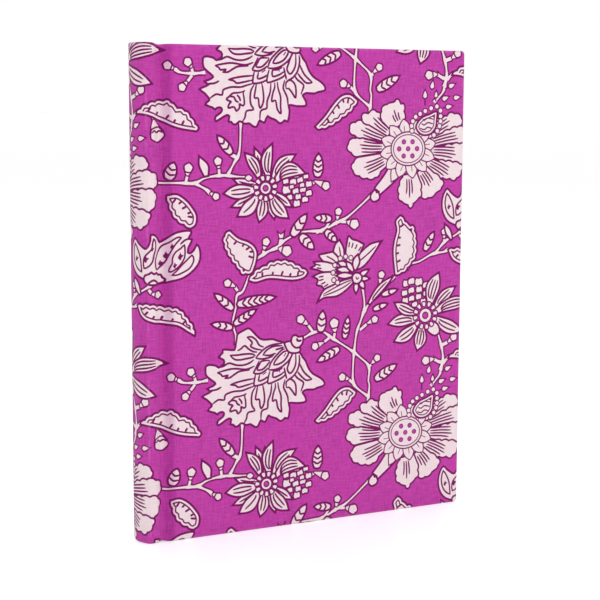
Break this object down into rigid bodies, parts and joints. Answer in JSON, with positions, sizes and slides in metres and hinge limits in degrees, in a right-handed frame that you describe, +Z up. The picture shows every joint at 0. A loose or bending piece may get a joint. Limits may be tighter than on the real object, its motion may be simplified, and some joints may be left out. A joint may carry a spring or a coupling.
{
  "type": "cloth-bound notebook",
  "caption": "Hardback notebook with a rounded spine, joint grooves and sewn sections, standing on its tail; both covers open and carry the leaves with them.",
  "frame": {"origin": "middle of the footprint, on the surface that the book stands on", "axes": "+Z up along the spine towards the head, -Y out of the front cover, +X from the spine to the fore-edge"},
  "size_m": [0.152, 0.0164, 0.203],
  "materials": {
    "book_cloth": "printed plain-weave cotton, matt",
    "grey_board": "pressed grey board",
    "spine_card": "formed card",
    "endpaper": "smooth cartridge paper",
    "leaf_paper": "uncoated writing paper",
    "lining_paper": "brown lining paper",
    "mull_gauze": "open starched gauze",
    "cotton_tape": "woven cotton tape",
    "linen_thread": "waxed linen thread",
    "band_silk": "worked silk band"
  },
  "bodies": {
    "root": {"spine_cloth": "book_cloth", "spine_stiffener": "spine_card", "spine_lining": "lining_paper", "mull": "mull_gauze", "tape_1": "cotton_tape", "tape_2": "cotton_tape", "tape_3": "cotton_tape", "headband": "band_silk", "tailband": "band_silk", "front_endpaper_fold": "endpaper", "back_endpaper_fold": "endpaper", "section_1_fold": "leaf_paper", "section_2_fold": "leaf_paper", "section_3_fold": "leaf_paper", "section_4_fold": "leaf_paper", "section_5_fold": "leaf_paper", "section_6_fold": "leaf_paper", "section_7_fold": "leaf_paper", "sewing_thread_1": "linen_thread", "sewing_thread_2": "linen_thread", "sewing_thread_3": "linen_thread", "sewing_thread_4": "linen_thread", "sewing_thread_5": "linen_thread", "sewing_thread_6": "linen_thread", "sewing_thread_7": "linen_thread"},
    "front_cover": {"front_board": "grey_board", "front_board_cloth": "book_cloth", "front_pastedown": "endpaper", "front_mull_flange": "mull_gauze", "front_tape_slip_1": "cotton_tape", "front_tape_slip_2": "cotton_tape", "front_tape_slip_3": "cotton_tape"},
    "front_flyleaf": {"front_flyleaf": "endpaper"},
    "section_1_leaves": {"section_1_leaves": "leaf_paper"},
    "section_2_leaves": {"section_2_leaves": "leaf_paper"},
    "section_3_leaves": {"section_3_leaves": "leaf_paper"},
    "section_4_front_leaves": {"section_4_front_leaves": "leaf_paper"},
    "back_cover": {"back_board": "grey_board", "back_board_cloth": "book_cloth", "back_pastedown": "endpaper", "back_mull_flange": "mull_gauze", "back_tape_slip_1": "cotton_tape", "back_tape_slip_2": "cotton_tape", "back_tape_slip_3": "cotton_tape"},
    "back_flyleaf": {"back_flyleaf": "endpaper"},
    "section_7_leaves": {"section_7_leaves": "leaf_paper"},
    "section_6_leaves": {"section_6_leaves": "leaf_paper"},
    "section_5_leaves": {"section_5_leaves": "leaf_paper"},
    "section_4_back_leaves": {"section_4_back_leaves": "leaf_paper"}
  },
  "joints": [
    {"name": "front_cover_hinge", "type": "hinge", "parent": "root", "child": "front_cover", "pos_m": [-0.0672, -0.00838, 0], "axis": [0, 0, -1], "range_deg": [0, 180]},
    {"name": "front_flyleaf_turn", "type": "hinge", "parent": "root", "child": "front_flyleaf", "pos_m": [-0.0672, -0.00838, 0], "axis": [0, 0, -1], "range_deg": [0, 165]},
    {"name": "section_1_turn", "type": "hinge", "parent": "root", "child": "section_1_leaves", "pos_m": [-0.0672, -0.00492, 0], "axis": [0, 0, -1], "range_deg": [0, 80]},
    {"name": "section_2_turn", "type": "hinge", "parent": "root", "child": "section_2_leaves", "pos_m": [-0.0672, -0.00351, 0], "axis": [0, 0, -1], "range_deg": [0, 60]},
    {"name": "section_3_turn", "type": "hinge", "parent": "root", "child": "section_3_leaves", "pos_m": [-0.0672, -0.0021, 0], "axis": [0, 0, -1], "range_deg": [0, 38]},
    {"name": "section_4_front_turn", "type": "hinge", "parent": "root", "child": "section_4_front_leaves", "pos_m": [-0.0672, -0.00069, 0], "axis": [0, 0, -1], "range_deg": [0, 17]},
    {"name": "back_cover_hinge", "type": "hinge", "parent": "root", "child": "back_cover", "pos_m": [-0.0672, 0.00838, 0], "axis": [0, 0, 1], "range_deg": [0, 180]},
    {"name": "back_flyleaf_turn", "type": "hinge", "parent": "root", "child": "back_flyleaf", "pos_m": [-0.0672, 0.00838, 0], "axis": [0, 0, 1], "range_deg": [0, 165]},
    {"name": "section_7_turn", "type": "hinge", "parent": "root", "child": "section_7_leaves", "pos_m": [-0.0672, 0.00492, 0], "axis": [0, 0, 1], "range_deg": [0, 80]},
    {"name": "section_6_turn", "type": "hinge", "parent": "root", "child": "section_6_leaves", "pos_m": [-0.0672, 0.00351, 0], "axis": [0, 0, 1], "range_deg": [0, 60]},
    {"name": "section_5_turn", "type": "hinge", "parent": "root", "child": "section_5_leaves", "pos_m": [-0.0672, 0.0021, 0], "axis": [0, 0, 1], "range_deg": [0, 38]},
    {"name": "section_4_back_turn", "type": "hinge", "parent": "root", "child": "section_4_back_leaves", "pos_m": [-0.0672, 0.00069, 0], "axis": [0, 0, 1], "range_deg": [0, 17]}
  ],
  "couplings": [
    {"joint": "front_flyleaf_turn", "follows": "front_cover_hinge", "ratio": 0.9166},
    {"joint": "section_1_turn", "follows": "front_cover_hinge", "ratio": 0.4444},
    {"joint": "section_2_turn", "follows": "front_cover_hinge", "ratio": 0.3333},
    {"joint": "section_3_turn", "follows": "front_cover_hinge", "ratio": 0.2111},
    {"joint": "section_4_front_turn", "follows": "front_cover_hinge", "ratio": 0.0944},
    {"joint": "back_flyleaf_turn", "follows": "back_cover_hinge", "ratio": 0.9166},
    {"joint": "section_7_turn", "follows": "back_cover_hinge", "ratio": 0.4444},
    {"joint": "section_6_turn", "follows": "back_cover_hinge", "ratio": 0.3333},
    {"joint": "section_5_turn", "follows": "back_cover_hinge", "ratio": 0.2111},
    {"joint": "section_4_back_turn", "follows": "back_cover_hinge", "ratio": 0.0944}
  ]
}
